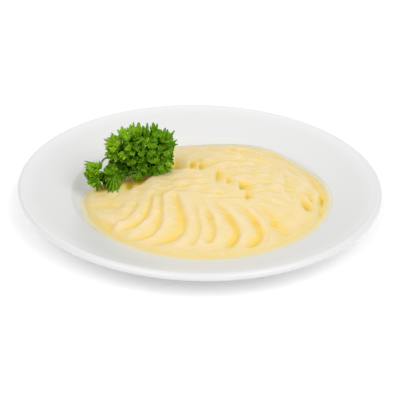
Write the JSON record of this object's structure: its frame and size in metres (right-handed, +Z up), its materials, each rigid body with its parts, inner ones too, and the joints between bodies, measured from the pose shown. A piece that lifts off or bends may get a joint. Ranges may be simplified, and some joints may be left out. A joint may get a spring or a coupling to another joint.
{
  "type": "plate of mashed potato",
  "caption": "Round white plate whose shallow well is filled with a low mound of smooth mashed potato, spooned into crescent ridges, with a sprig of curly parsley.",
  "frame": {"origin": "centre of the plate's foot ring, on the surface that the plate stands on", "axes": "+Z up through the plate's axis; +X to the right and +Y to the back, with the parsley at the left end of the mash"},
  "size_m": [0.24, 0.24, 0.0585],
  "materials": {
    "plate_glaze": "smooth glossy white glaze",
    "mashed_potato": "creamy pale yellow mash with a soft satin surface, stands for real food",
    "parsley_leaf": "fresh green leaf, satin, slightly translucent, stands for a real herb"
  },
  "bodies": {
    "root": {"plate": "plate_glaze", "mash": "mashed_potato", "parsley_sprig": "parsley_leaf"}
  },
  "joints": []
}
